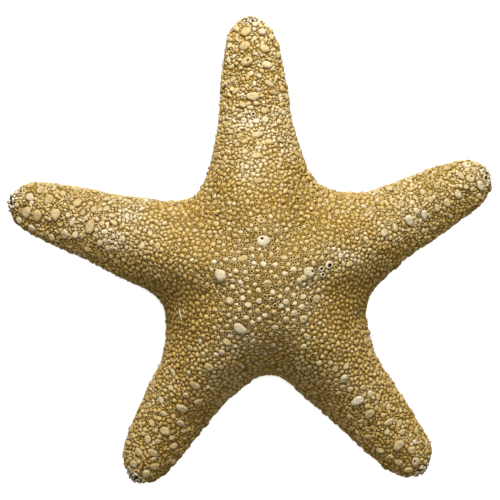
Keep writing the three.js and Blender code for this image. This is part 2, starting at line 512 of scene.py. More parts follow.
# The granules that stand out in the photograph: x and y in its pixels, length and width in
# pixels, heading in degrees, and tone from 0, golden, to 100, worn white.
PROMINENT = (
    # disc
    (220.6, 275.4, 12.5, 12, 90, 85), (240, 328.5, 14, 10, -30, 80),
    (303, 319, 9, 8, 40, 55), (230, 301, 8.5, 8, 0, 35), (267, 283.5, 8.5, 7, 20, 40),
    (303, 297, 6.5, 5.5, 20, 90), (340.5, 256, 6.5, 5.5, 0, 85), (248, 305, 7, 6, 0, 70),
    (303, 278, 7, 6, 0, 50), (286, 302, 6.5, 6.5, 0, 65), (301.5, 307, 6.5, 6, 0, 75),
    (294, 313, 6, 6, 0, 60), (243, 259, 10, 7.5, 35, 20), (281, 306, 5.5, 5.5, 0, 65),
    (275, 327, 8, 5, 0, 50), (284, 258, 8, 5.5, 0, 40), (259, 301, 6, 6, 0, 65),
    (181, 314.5, 12.5, 1.6, -61, 95), (184.5, 312, 5, 1.4, -61, 80), (242.5, 286, 4, 2, -40, 95),
    # top arm
    (246, 32, 12.5, 10.5, 0, 25), (262, 32, 8.5, 8, 30, 70), (255, 24.5, 7.5, 6, 20, 90),
    (245, 46, 12.5, 9.5, 10, 30), (264.5, 49, 12, 8, -12, 30), (267, 65, 11, 8.5, 0, 55),
    (230, 46, 7, 6, 45, 70), (229, 60, 5, 8.5, 20, 65), (250.7, 74, 7.5, 5.5, 15, 65),
    (259, 76, 6, 5.5, -30, 70), (269, 84, 11, 7, -15, 35), (236, 91, 10, 5, 35, 25),
    (253, 96.5, 14, 9, 5, 50), (243, 105, 8, 6.5, 0, 35), (247, 86.5, 5, 5, 0, 40),
    (255.5, 54, 6, 4.5, 0, 65), (271, 37, 8, 7, 0, 40), (273, 92.5, 9, 6, 0, 35),
    (264, 111, 6.5, 8, 20, 35), (244, 121, 7, 7, 10, 85), (256, 121.5, 7, 6.5, 0, 80),
    (265, 120, 7, 7, 0, 85), (283, 113, 6.5, 5.5, 0, 80), (257, 135, 12, 7.5, 5, 40),
    (240, 136, 8, 6, 10, 25), (269, 142, 9, 7, -10, 30), (257, 156, 12, 7.5, 5, 35),
    (245, 152, 7, 6, 0, 30), (278, 55, 6, 9, -10, 35),
    (282, 75, 6, 8, -10, 35), (231, 132, 7, 6, 0, 30), (259, 181, 10, 6.5, 10, 15),
    (280, 140, 8, 6, -20, 35), (287, 127, 6, 6.5, 0, 30), (254.5, 83.8, 4.5, 6, 10, 90),
    (258.8, 89.8, 4, 4, 0, 90), (246.5, 112.5, 4, 4, 0, 90), (277.2, 108, 4, 4, 0, 90),
    (250.3, 122.5, 4, 6, 0, 90), (244.5, 142, 7.5, 6, 0, 30), (258.5, 148.2, 7, 4.5, 10, 80),
    (223.6, 119, 6, 7, 0, 30), (222.7, 131, 6, 6, 0, 30), (233.6, 80, 8, 5, 30, 30),
    (281.8, 89, 7, 8, 10, 30), (286, 97, 6, 8, 0, 30), (226.5, 83, 6, 7, 20, 30),
    # right arm
    (409, 220, 8, 12.5, 24, 85), (424, 215, 6.5, 12, 15, 80), (384, 233, 8, 9, 20, 65),
    (458, 194.5, 7, 11, 15, 70), (480, 185.5, 8.5, 11, 30, 75),
    (437, 186, 8, 7, 60, 35), (422.6, 192.4, 7, 7, 0, 35), (401, 204, 9, 7, 60, 30),
    (461, 176, 6, 9, 30, 50), (349, 264, 8, 6, 20, 40), (447, 203, 7, 10, 25, 40),
    (437, 208, 6, 9, 25, 35), (395, 228, 6, 9, 20, 50), (366, 240, 6, 8, 20, 40),
    (447, 169, 9, 6, -10, 30), (430, 200, 6.5, 8, 25, 30), (412, 203, 6, 7, 60, 30),
    (476, 164.5, 9, 6, -15, 40), (488, 182, 5, 6, 20, 85), (472, 189, 5, 5.5, 0, 45),
    (466, 187, 6, 6, 40, 40), (479, 196, 6, 7, 20, 45),
    # left arm
    (30, 197.5, 8.5, 9.5, 75, 70), (49, 200, 9.5, 11.5, -35, 30), (77.5, 203, 8, 11, -35, 25),
    (26.5, 212, 10.5, 12, -20, 40), (37.5, 215.5, 9, 14, -5, 30), (55.5, 214.5, 11, 12.5, -30, 40),
    (90, 227, 10, 15.5, -15, 30), (65, 234, 7.5, 11, 0, 60), (72.5, 222, 6, 10, -20, 75),
    (75.5, 235, 6.5, 8, 0, 70), (68, 215.5, 5, 6, 0, 80), (32, 228, 7.5, 9, 30, 75),
    (52, 237, 7, 8, 30, 40), (83, 213, 6, 7, -40, 40), (142, 246, 7, 9, -20, 50),
    (106.5, 209, 8, 6, 20, 60), (19.5, 220, 6.5, 7.5, 20, 75), (100, 243, 7, 7, 0, 50),
    (112, 216, 8, 6, 0, 45), (94, 210, 7, 8, -30, 40), (105, 232, 7, 6, 0, 70),
    (135, 233, 6, 7, -20, 40), (88, 249, 8, 6, -30, 20), (63, 194, 8, 7, 0, 30),
    (158, 246, 6, 8, -15, 35), (41, 189, 8, 7, 20, 35), (17, 205, 5, 6, 30, 45),
    (81.4, 236, 5.5, 6.5, 0, 50), (113.5, 236.7, 5, 5, 0, 75), (105, 240.5, 5.5, 5, 0, 70),
    (109.7, 241, 4.5, 4.5, 0, 80), (107.8, 248, 6, 6, 0, 50), (41.8, 234, 6, 6, 0, 35),
    (107, 199.5, 8, 6, 10, 50), (120, 211.2, 5, 5, 0, 60), (126.7, 216, 7, 4.5, 45, 85),
    (141.8, 209.5, 7, 4.5, 45, 85), (96.5, 230, 5, 5, 0, 50),
    # lower left arm
    (153, 452.5, 8, 12, 60, 50), (139, 452, 7.5, 10, 30, 40), (134, 463.5, 8, 9.5, 30, 35),
    (154.5, 466, 11, 8, 5, 30), (146, 473, 8, 9, 40, 45), (165, 431, 12, 8.5, -30, 30),
    (173.5, 445.5, 9, 7, 20, 30), (180.5, 423, 9, 7, -30, 45), (182, 408, 12.5, 9, -30, 40),
    (195, 385, 12, 8.5, -25, 30), (209, 367, 11, 8, -25, 30), (227, 342, 9, 7, -20, 35),
    (222, 352, 7, 6, 0, 60), (161.5, 400, 9, 6, -62, 50), (148, 439.5, 8, 9, 10, 40),
    (163.5, 413.5, 8, 6, -20, 35), (198, 401, 9.5, 6.5, 10, 35), (171, 388, 7, 6, -30, 45),
    (186, 395, 7, 6, -30, 40), (130, 468, 5, 7, 20, 70), (158, 441, 6.5, 5.5, 0, 50),
    (171.8, 437.5, 7, 6, 0, 35), (183.6, 430.5, 7, 4.5, 0, 35), (152, 423, 6, 8.5, 20, 40),
    (172.7, 461, 7, 5, 10, 30), (208, 386.4, 4.5, 4.5, 0, 60), (203.6, 354.5, 6, 6, 0, 35),
    (221, 366.4, 7, 5, 0, 25), (213.6, 376, 6, 5, 0, 30), (190, 348, 9, 6, 0, 20),
    (173.6, 372.7, 9, 6, -50, 35), (150, 405.5, 5, 7, 20, 40), (189, 372.7, 5.5, 5, 0, 45),
    # lower right arm
    (357.5, 400.5, 13.5, 9.5, 25, 80), (344, 378.5, 10.5, 7.5, 50, 75), (369.5, 413.5, 12.5, 9, 35, 35),
    (362.5, 387.5, 7, 6, 0, 50), (370, 393.5, 7, 6, 0, 70), (350, 389, 7, 6, 0, 50),
    (388.5, 422, 11, 7, 20, 40), (387, 432, 6, 6, 0, 50), (368, 436.5, 9, 6, 0, 30),
    (398.5, 445, 13, 9.5, 35, 45), (411.5, 450, 9, 9.5, 20, 35), (426, 443.5, 5, 8.5, -15, 35),
    (398.5, 462, 9, 7.5, 0, 30), (408.5, 469.5, 10, 7, 0, 30), (391, 456, 7, 4.5, -10, 35),
    (388, 407, 6, 7, 0, 45), (346, 366, 9, 6, 30, 45), (335, 368.5, 8, 7, 30, 50),
    (330, 362.5, 6, 5, 0, 50), (319, 362.5, 7, 5.5, 0, 75), (307, 336.5, 9, 6, -30, 35),
    (402, 432, 8, 6, 30, 35), (376, 403, 6, 5, 0, 50), (416, 431, 6, 9, 0, 35),
    (425, 462, 5, 6, 0, 50), (421, 467, 6, 4, 40, 55), (417, 472, 5, 4, 20, 60),
    (342.7, 386.4, 7, 5, 30, 60), (377.5, 397, 5, 7.5, 10, 35), (399, 423.5, 10, 6, 45, 35),
    (380, 450, 9, 6.5, 0, 35), (350, 415.5, 7, 5, 0, 30),
    (331, 403.6, 6, 5, 0, 30), (339, 392.7, 7, 5, 30, 30), (303.6, 346.4, 6, 6, 0, 50),
)

# Those with a fine hole, painted in dark shade, as above, and then the hole's offset in pixels.
PINHOLES = (
    (263.5, 241, 14, 10.5, 0, 95, -1.4, -1.9), (308.6, 272.2, 11, 11.5, 0, 90, 3.4, -1.0),
    (261.5, 221, 11, 6.5, 0, 25, 0.0, 0.0), (470.5, 178.5, 11, 9.5, 20, 40, 0.6, -1.6),
    (247, 61.5, 14, 10, 14, 35, 1.6, -0.6), (40, 191, 8, 7.5, 20, 35, 0.2, 0.2),
    (122, 240, 7, 11, -20, 70, 0.4, 1.5), (466.5, 165.2, 10.5, 7, -15, 85, 1.2, 0.2),
    (415.5, 461.5, 9, 11, 10, 55, -2.0, -1.5), (246.8, 279.6, 6, 5, 0, 30, 0.0, 0.0),
)

# Those with a wide one, also painted in dark shade.
WIDE_HOLES = (
    (320.8, 268.8, 6, 5.6, 0, 80, 0.0, 0.0), (322.3, 274.6, 6, 5.6, 0, 75, -0.2, -0.2),
    (328.6, 264.6, 8, 7.4, 40, 75, 0.4, 0.8), (253.4, 114.8, 5.6, 5.0, 0, 85, 0.0, -0.2),
    (304.6, 318, 5, 5, 0, 45, 0.3, 0.0), (271.4, 299.6, 5, 5, 0, 80, 0.3, 0.2),
    (484.5, 178.5, 6, 8, 0, 50, 0.6, -0.6), (265.2, 296.2, 4.4, 4.4, 0, 30, 0.0, 0.0),
)

# The disc's round beads: x and y in the photograph's pixels, width in pixels, and tone.
DISC_BEADS = (
    (254.2, 263.3, 5, 65), (263.3, 264.5, 6.6, 70), (275.2, 264.8, 5.6, 75),
    (293.4, 269.6, 6, 55), (284.8, 273.9, 6, 70), (275.7, 276.7, 4.8, 50),
    (245.5, 272.6, 5.4, 50), (235.8, 271.2, 5.6, 50), (252.7, 267.9, 4, 40),
    (257.5, 270.8, 4.2, 40), (270.9, 272, 4.6, 45), (232.9, 280.6, 4.6, 55),
    (240.6, 282.5, 5.4, 65), (232.4, 287, 5.6, 60), (258, 276.5, 5, 45),
    (254.9, 284.6, 5, 45), (280, 283.4, 6, 40), (298.7, 280.6, 6, 50),
    (297.2, 288.2, 4.2, 90), (287.2, 289.7, 5.6, 70), (258.5, 290.6, 6, 50),
    (272.8, 292.5, 6, 60), (242.5, 291.1, 5, 50), (236.5, 293, 4.2, 45),
    (249.4, 292.4, 5, 45), (293.4, 295.4, 5.6, 65), (280, 296.6, 5, 50),
    (242.7, 298.5, 6, 75), (294.9, 303.5, 5, 65), (239.4, 309.8, 5.4, 30),
    (257.5, 311, 6, 30), (273.8, 311.7, 6, 35), (228.6, 315.3, 5, 40),
    (264.7, 315, 6, 90), (287.8, 309.8, 5, 50), (246, 317.9, 6, 50), (235.8, 318.4, 4.6, 85),
    (259, 318.9, 5.6, 45), (285.8, 319.3, 6.8, 40), (252.3, 322.7, 5.8, 40),
)

# Slits and specks, their hollows painted in dark shade: x, y, length, width and heading, as above, and
# tone.
SLITS = (
    (310.2, 300.2, 9, 3.2, -66, 30), (274.8, 305.2, 4.4, 4, 0, 30), (265.2, 300, 3.6, 3.4, 0, 30),
    (290.6, 305.4, 4.2, 3.6, 0, 30), (240.8, 314.3, 4, 3.6, 0, 30), (254, 236, 4.2, 3.8, 0, 20),
    (250.7, 19, 8, 3.6, 50, 90), (246.5, 22.5, 5, 3.4, 20, 90),
    (21.5, 192, 5.4, 4.4, 40, 40), (15.4, 202.4, 6, 3.6, 10, 90), (10.5, 206.5, 6, 3.6, -20, 90),
    (485.6, 173.6, 6, 3.8, 30, 90), (484, 170, 4.6, 3.2, 0, 90),
    (133.3, 476.4, 6, 3.8, 60, 90), (138, 480, 5, 3.6, -30, 90), (130.5, 471, 4.6, 3.4, 0, 90),
    (424.4, 469.8, 5, 3.4, 50, 90),
)

# The sieve plate: its middle and width in the photograph's pixels, and the number of its ridges.
SIEVE_X = 316.5
SIEVE_Y = 298.9
SIEVE_WIDTH = 8.4
SIEVE_RIDGES = 15

# The rows along both sides of each furrow: distance from the midline, pitch, start, half
# length, half width, height and tone, in millimetres.
OSSICLES = (2.3, 1.5, 0.0, 1.45, 0.44, 0.5, 0.3)
TUBE_FEET = (2.9, 1.5, 0.75, 0.42, 0.36, 1.0, 0.02)
FURROW_SPINES = (4.75, 1.15, 0.0, 1.0, 0.36, 0.95, 0.42)
INNER_SPINES = (6.3, 1.5, 0.2, 0.85, 0.52, 0.85, 0.38)
OUTER_SPINES = (7.95, 1.75, 0.5, 0.8, 0.66, 0.8, 0.34)

# The mouth's fans: the spines in a fan, its half angle in radians, and one spine's half length,
# half width, height and tone.
MOUTH_SPINES = 7
MOUTH_FAN = 0.26
MOUTH_SPINE = (1.25, 0.38, 1.0, 0.45)

# Patches where the skin is worn paler, or browner where the strength is below 0: x, y and
# radius in the photograph's pixels, and strength in hundredths.
PALE_PATCHES = (
    (252, 165, 9, 30), (253, 178, 8, 26), (262, 120, 15, 22), (240, 122, 8, 20), (312, 272, 9, 28),
    (335, 262, 11, 30), (350, 257, 8, 25), (303, 293, 13, 26), (296, 306, 10, 20), (237, 330, 9, 25),
    (226, 346, 9, 20), (220, 275, 9, 22), (80, 222, 17, 11), (120, 243, 15, 14), (138, 214, 14, 10),
    (100, 215, 13, 5), (412, 219, 15, 12), (385, 234, 13, 10), (468, 190, 12, 6), (343, 380, 8, 12),
    (358, 400, 10, 12), (365, 420, 14, 6), (262, 245, 9, 18), (243, 262, 9, 10), (255, 22, 10, 22),
    (484, 172, 10, 25), (12, 206, 9, 20), (132, 474, 9, 22), (424, 470, 9, 22), (289, 146, 7, 18),
    (320, 240, 8, 10), (131, 212, 6, 16), (121, 219, 5, 14), (142, 205, 5, 16), (268, 350, 26, 17),
    (172, 305, 16, -10), (375, 290, 14, 4), (208, 380, 12, 8), (322, 382, 13, 9), (165, 260, 12, 9),
    (362, 262, 12, 8), (232, 242, 14, 8),
)


# The skin's tone, and what each zone adds to it. The sunny and shaded arm tones, the web tone and the
# lower arm tone paint light and shade: paler on slopes facing the light, darker on shaded slopes,
# shaded webs and the two lower arms.
BODY_TONE = 0.18
PLATEAU_TONE = 0.12
WEB_SHADE_TONE = -0.19
SUNNY_ARM_TONE = 0.12
SHADED_ARM_TONE = -0.06
LOWER_ARM_SHADE_TONE = -0.10
MOUTH_SIDE_TONE = 0.12


class Look:
    """The star's zones and its granules' tones, at each spot of the bed, with painted light and shade
    in the tones.
    """

    def __init__(self, bed):
        self.count = len(bed.places)
        lay, normal = bed.layout, bed.normals
        self.back = normal[:, 2] > -0.55
        self.plateau = 1 - smoothstep(lay.radius, 16, 27)
        web = 1 - smoothstep(lay.arm_share, 0.2, 0.75)
        self.web = web * smoothstep(lay.radius, 16, 26) * (1 - smoothstep(lay.radius, 58, 72))
        self.arm = smoothstep(lay.radius, 30, 55) * (1 - self.web)
        self.furrow = in_furrow(bed)
        self.tip = tip_gape(bed.places, lay)
        # Painted light and shade: the tone rises on slopes facing the light and falls on slopes, webs
        # and lower arms turned from it.
        sunny = smoothstep(normal[:, 1], -0.05, 0.25)
        self.shade = 1 - smoothstep(normal[:, 1], -0.45, 0.15)
        arm_tone = mix(SUNNY_ARM_TONE, SHADED_ARM_TONE, self.shade)
        tone = BODY_TONE + PLATEAU_TONE * self.plateau + WEB_SHADE_TONE * self.web * (1 - 1.15 * sunny)
        tone += (arm_tone + LOWER_ARM_SHADE_TONE * (lay.arm > 2)) * self.arm
        tone = np.where(self.back, tone, tone + MOUTH_SIDE_TONE)
        pixel = in_photo(bed.places)
        for x, y, radius, strength in PALE_PATCHES:
            off = (pixel[:, 0] - x) ** 2 + (pixel[:, 1] - y) ** 2
            tone += np.where(self.back, strength / 100 * np.exp(-off / (2 * radius**2)), 0)
        self.tone = tone + 0.05 * waves(bed.places, 14, 8) + 0.04 * waves(bed.places, 5, 9)
        self.crusted = self.web * sunny * (1 - self.plateau)
        ridge = (1 - smoothstep(np.abs(lay.aside), 4, 11)) * (1 - smoothstep(lay.radius, 42, 64))
        self.porous = np.maximum(self.plateau, np.maximum(ridge, 0.7 * self.crusted))
        self.any_way = unit(rng.normal(size=(self.count, 3)))
        grains = self.spread(0.42, 0.05)
        self.small_tone = np.minimum(mix(0.75, 1.0, self.arm) * grains, mix(0.42, 0.66, self.arm))

    def spread(self, narrow, white):
        """Tones for single granules: the zone's tone, some spread, and a few worn white."""
        spread = (rng.beta(1.3, 3.0, self.count) - 0.12) * narrow
        worn = self.some(white * (0.35 + 2.5 * self.tone))
        return np.clip(self.tone + spread + worn * rng.uniform(0.25, 0.55, self.count), 0, 1)

    def some(self, share):
        """Random spots: this share of them."""
        return rng.random(self.count) < share

    def vary(self, least, most, power=1.0):
        """A random value for each spot. A power above 1 makes high values rarer."""
        return mix(least, most, rng.random(self.count) ** power)


def in_furrow(bed):
    """Spots inside the five furrows and the mouth, where no granules grow."""
    lay = bed.layout
    end = REACH[lay.arm] - FURROW_END_BACK
    past = np.maximum(lay.along - end, 0)
    off = np.hypot(lay.aside, past)
    low = bed.normals[:, 2] < 0.2
    low &= bed.places[:, 2] < 9
    return low & ((off < FURROW_HALF_WIDTH + 0.3) | (lay.radius < MOUTH_RADIUS))


def grow_at(bed, surface, table):
    """Granules at a table's places in the photograph, seated on the skin."""
    granules = Granules()
    eye = camera_place()
    for x, y, long, wide, heading, tone, *hole in table:
        flat = np.array([x - PHOTO_PX / 2, PHOTO_PX / 2 - y]) * MM_PER_PX + eye[:2]
        ray = unit(np.array([*flat, WIDEST_LEVEL]) - eye)
        place = np.array(surface.ray_cast(Vector(eye * MM), Vector(ray))[0]) / MM
        normal = bed.normals[bed.nearest(place)]
        way = level(math.radians(heading))
        way = unit(way - normal * (way @ normal))
        half_long, half_wide = long * MM_PER_PX / 2, wide * MM_PER_PX / 2
        high = 0.30 * min(half_long, half_wide) + 0.42
        tone = 0.12 + 0.86 * (tone / 100)
        shift = (0.0, 0.0)
        if hole:
            off = np.array([hole[0], -hole[1], 0.0]) * MM_PER_PX
            shift = (off @ way, off @ np.cross(normal, way))
            high = max(high, 0.75)
        granules.add(place, normal, way, half_long, half_wide, high, tone, 0.0, shift)
        bed.take(place, normal, way, half_long, half_wide, 1.6)
    return granules


def grow_sieve_plate(bed, surface):
    """The sieve plate: a low round plate with fine ridges fanning out over it."""
    half = SIEVE_WIDTH * MM_PER_PX / 2
    plate = grow_at(bed, surface, ((SIEVE_X, SIEVE_Y, SIEVE_WIDTH, SIEVE_WIDTH, 0, 55),))
    place, normal = (np.array(plate.rows[0][part : part + 3]) for part in (0, 3))
    ridges = Granules()
    ridges.add(place, normal, np.array([1.0, 0.0, 0.0]), half, half, 0.42, 0.5)
    for turn in np.arange(SIEVE_RIDGES) * 2 * math.pi / SIEVE_RIDGES:
        way = unit(np.cross(normal, [math.sin(turn), -math.cos(turn), 0.0]))
        ridges.add(place + way * half * 0.55, normal, way, half * 0.42, 0.13, 0.62, 0.6)
    return ridges


# The scattered granules' half widths, least and most, in millimetres.
OVAL_SIZE = (1.0, 1.5)
WEB_BEAD_SIZE = (0.72, 1.1)
CRUSTED_BEAD_SIZE = (0.9, 1.4)
PLATEAU_BEAD_SIZE = (0.80, 1.1)
CHIP_SIZE = (0.42, 1.08)
LARGE_CHIP = 0.6
TIP_PLATE_SIZE = (0.5, 1.0)
PAVING_SIZE = (0.7, 1.1)
CRATER_SIZE = (0.52, 0.76)
CRUMB_SIZE = (0.32, 0.56)
SAND_SIZE = (0.16, 0.24)
UNEVEN_HEIGHT = (0.75, 1.25)


def grow_ovals(bed, look):
    """Large low ovals on the arms' sides."""
    wide = look.vary(*OVAL_SIZE)
    steep = (bed.normals[:, 2] < 0.55) & (bed.places[:, 2] > 2.5)
    allowed = look.back & steep & look.some(look.arm) & (look.tip < 0.2)
    return fill(bed, allowed, wide * look.vary(1.15, 1.5), wide, bed.layout.left,
                0.2 * wide + 0.35, look.spread(0.3, 0.02), 1.9, 3.2)


def grow_beads(bed, look):
    """The round granules of the disc, wide set, and of the webs, close together."""
    draw = look.vary(0, 1)
    size = look.vary(*WEB_BEAD_SIZE)
    size = mix(size, mix(*CRUSTED_BEAD_SIZE, draw), look.crusted)
    size = mix(size, mix(*PLATEAU_BEAD_SIZE, draw), look.plateau)
    stretch = 1 + mix(0.4, 0.2, look.plateau) * look.vary(0, 1)
    spacing = mix(mix(0.78, 0.8, look.crusted), 1.6, look.plateau)
    low = mix(mix(0.95, 0.66, look.web), 0.95, look.crusted) * mix(1.0, 0.7, look.shade)
    high = (0.60 * size + 0.18) * low * look.vary(*UNEVEN_HEIGHT)
    allowed = look.back & ~look.some(look.arm)
    return fill(bed, allowed, size * stretch, size, look.any_way, high, look.spread(0.38, 0.04),
                spacing, 1.7, look.crusted)


def grow_chips(bed, look):
    """The arms' angular granules, which lie partly over one another."""
    size = look.vary(*CHIP_SIZE, 1.5)
    allowed = look.back & look.some(look.arm) & (look.tip < 0.35)
    return fill(bed, allowed, size * look.vary(1.0, 1.9), size, look.any_way,
                (0.50 * size + 0.2) * look.vary(*UNEVEN_HEIGHT) * mix(1.0, 0.6, look.shade),
                look.spread(0.38, 0.04), 0.5, 1.7)


def grow_tip_plates(bed, look):
    """The last plates round each arm's end, pale, with wide gaps painted in dark shade."""
    size = look.vary(*TIP_PLATE_SIZE)
    tone = look.vary(0.7, 1.0)
    allowed = look.back & (look.tip > 0.3)
    return fill(bed, allowed, size * look.vary(1.0, 1.7), size, look.any_way,
                0.5 * size + 0.3, tone, 1.1, 1.7)


def seat_from_below(bed, surface, flat):
    """The skin's place and normal over a place in plan, met from underneath."""
    below = Vector((flat[0] * MM, flat[1] * MM, -0.01))
    place = np.array(surface.ray_cast(below, Vector((0, 0, 1)))[0]) / MM
    return place, bed.normals[bed.nearest(place)]


def lay_across(bed, granules, seat, across, long, wide, high, tone):
    """Adds a granule at a seat, turned to lie across."""
    place, normal = seat
    way = unit(across - normal * (across @ normal))
    size = rng.uniform(0.88, 1.12)
    tone = np.clip(tone + rng.normal(0, 0.08), 0, 1)
    granules.add(place, normal, way, long * size, wide * size, high, tone)
    bed.take(place, normal, way, long * size, wide * size, 1.6)


def grow_row(bed, surface, aside, pitch, start, long, wide, high, tone):
    """A row of granules along each side of every furrow, each lying across the arm."""
    granules = Granules()
    for arm, reach in enumerate(REACH):
        for distance in np.arange(MOUTH_RADIUS + 1.5 + start, reach - FURROW_END_BACK, pitch):
            distance += rng.normal(0, 0.05 * pitch)
            ahead = unit(midline(arm, distance + 1) - midline(arm, distance - 1))
            for across in (np.array([-ahead[1], ahead[0], 0.0]), np.array([ahead[1], -ahead[0], 0.0])):
                seat = seat_from_below(bed, surface, midline(arm, distance) + across[:2] * aside)
                if seat[1][2] < 0.2:
                    lay_across(bed, granules, seat, across, long, wide, high, tone)
    return granules


def grow_mouth_spines(bed, surface):
    """Fans of spines on the five corners between the arms, pointing in over the mouth."""
    granules = Granules()
    for heading in np.radians(NOTCH):
        for row, radius in enumerate((MOUTH_RADIUS - 1.0, MOUTH_RADIUS + 1.4)):
            for step in np.linspace(-1, 1, MOUTH_SPINES - row):
                inward = -level(heading + step * MOUTH_FAN)
                seat = seat_from_below(bed, surface, DISC_CENTRE - inward[:2] * radius)
                lay_across(bed, granules, seat, inward, *MOUTH_SPINE)
    return granules


def grow_paving(bed, look):
    """The flatter granules of the mouth side."""
    size = look.vary(*PAVING_SIZE)
    return fill(bed, ~look.back & ~look.furrow, size * look.vary(1.0, 1.3), size,
                bed.layout.round, 0.3 * size + 0.25, look.spread(0.3, 0.03), 1.06, 1.7)


def grow_craters(bed, look):
    """The spongy crust between the granules: low rims, each round a pore painted in dark shade."""
    size = look.vary(*CRATER_SIZE)
    allowed = look.back & (look.tip < 0.35) & (look.porous + 0.3 * waves(bed.places, 6, 21) > 0.25)
    return fill(bed, allowed, size * look.vary(1.0, 1.25), size, look.any_way,
                look.vary(0.28, 0.46), look.small_tone, 0.48, 0.9)


def grow_crumbs(bed, look):
    """Crumbly grains between the granules, long and short, turned all ways."""
    size = look.vary(*CRUMB_SIZE)
    allowed = ~look.furrow & (look.tip < 0.5)
    return fill(bed, allowed, size * look.vary(1.1, 2.1), size, look.any_way,
                (0.75 * size + 0.24) * look.vary(*UNEVEN_HEIGHT) * mix(1.0, 0.6, look.shade),
                look.small_tone, 0.45, 0.9)


def grow_sand(bed, look):
    """The finest grains, with pores between them where the dark skin, partly painted shade, shows."""
    size = look.vary(*SAND_SIZE)
    allowed = look.back & (look.tip < 0.5)
    return fill(bed, allowed, size * look.vary(1.0, 1.6), size, look.any_way, 0.9 * size + 0.2,
                look.small_tone, 0.7, 0.6)


# Materials


def new_material(name):
    material = bpy.data.materials.new(name)
    material.use_nodes = True
    tree = material.node_tree
    tree.nodes.clear()
    shader = add(tree, "ShaderNodeBsdfPrincipled")
    add(tree, "ShaderNodeOutputMaterial", {"Surface": shader.outputs["BSDF"]})
    return material, tree, shader


def set_inputs(tree, node, inputs):
    """Gives a node's inputs their values, or links from other nodes."""
    for socket, value in inputs.items():
        if hasattr(value, "is_output"):
            tree.links.new(value, node.inputs[socket])
        else:
            node.inputs[socket].default_value = value


def add(tree, kind, inputs=None, **settings):
    node = tree.nodes.new(kind)
    for name, value in settings.items():
        setattr(node, name, value)
    set_inputs(tree, node, inputs or {})
    return node


def ramp(tree, source, stops):
    node = add(tree, "ShaderNodeValToRGB", {"Fac": source})
    elements = node.color_ramp.elements
    elements[0].position, elements[0].color = stops[0][0], (*stops[0][1], 1)
    elements[1].position, elements[1].color = stops[-1][0], (*stops[-1][1], 1)
    for position, colour in stops[1:-1]:
        elements.new(position).color = (*colour, 1)
    return node.outputs["Color"]


def blend(tree, share, first, second, kind="MIX"):
    """Two colours mixed, plain or from other nodes."""
    first, second = (c if hasattr(c, "is_output") else (*c, 1) for c in (first, second))
    inputs = {0: share, 6: first, 7: second}
    return add(tree, "ShaderNodeMix", inputs, data_type="RGBA", blend_type=kind).outputs[2]


def math_node(tree, operation, first, second):
    return add(tree, "ShaderNodeMath", {0: first, 1: second}, operation=operation).outputs[0]


def noise(tree, scale, detail=3.0, roughness=0.6):
    """Noise in object space: scale is in features per metre."""
    place = add(tree, "ShaderNodeTexCoord").outputs["Object"]
    inputs = {"Vector": place, "Scale": scale, "Detail": detail, "Roughness": roughness}
    return add(tree, "ShaderNodeTexNoise", inputs).outputs["Fac"]


def remap(tree, source, low=0.0, high=1.0, to_low=0.0, to_high=1.0):
    ends = {"From Min": low, "From Max": high, "To Min": to_low, "To Max": to_high}
    return add(tree, "ShaderNodeMapRange", {"Value": source, **ends}, clamp=True).outputs["Result"]


def set_surface(tree, shader, colour, roughness, gloss):
    inputs = {"Base Color": colour, "Roughness": roughness, "Specular IOR Level": gloss}
    set_inputs(tree, shader, inputs)


def bump(tree, source, shader, strength, distance):
    inputs = {"Height": source, "Strength": strength, "Distance": distance}
    set_inputs(tree, shader, {"Normal": add(tree, "ShaderNodeBump", inputs).outputs["Normal"]})


def look_parts(tree):
    """The look attribute's three colours and its alpha."""
    look = add(tree, "ShaderNodeAttribute", attribute_name="look")
    parts = add(tree, "ShaderNodeSeparateColor", {"Color": look.outputs["Color"]})
    return *parts.outputs, look.outputs["Alpha"]


def pore_shade_dots(tree, scale, size):
    """1 in round dots and 0 elsewhere: scale is in dots per metre."""
    place = add(tree, "ShaderNodeTexCoord").outputs["Object"]
    node = add(tree, "ShaderNodeTexVoronoi", {"Vector": place, "Scale": scale})
    return remap(tree, node.outputs["Distance"], 0.7 * size, 1.3 * size, 1.0, 0.0)


OLIVE = (0.34, 0.225, 0.048)
GOLD = (0.50, 0.330, 0.075)
TAN = (0.53, 0.395, 0.150)
CREAM = (0.62, 0.52, 0.305)
WORN_WHITE = (0.72, 0.65, 0.49)
TONES = ((0.0, OLIVE), (0.15, GOLD), (0.34, TAN), (0.62, CREAM), (0.95, WORN_WHITE))
CREST_WEAR_AND_HIGHLIGHT = (0.56, 0.475, 0.32)
DULL = (0.66, 0.56, 0.38)
FLECK = (0.40, 0.27, 0.11)
FOOT_SHADE = (0.225, 0.114, 0.006)
HOLE_SHADE = (0.014, 0.007, 0.002)
PORE_SHADE = (0.045, 0.022, 0.004)
GROUND = (0.105, 0.056, 0.006)
GROUND_PALE = (0.23, 0.145, 0.028)
GROUND_WARM = (0.20, 0.120, 0.020)
GAP_SHADE = (0.018, 0.014, 0.010)
PLAIN = (1.0, 1.0, 1.0)
WORN = (0.89, 0.895, 0.88)

# The noises' features per metre, and the pores' width as a part of their pitch.
SPECKS = 1500
BLOTCHES = 420
PORES = 950
PORE_WIDTH = 0.33
GRIT = 2200
PATCHES = 90


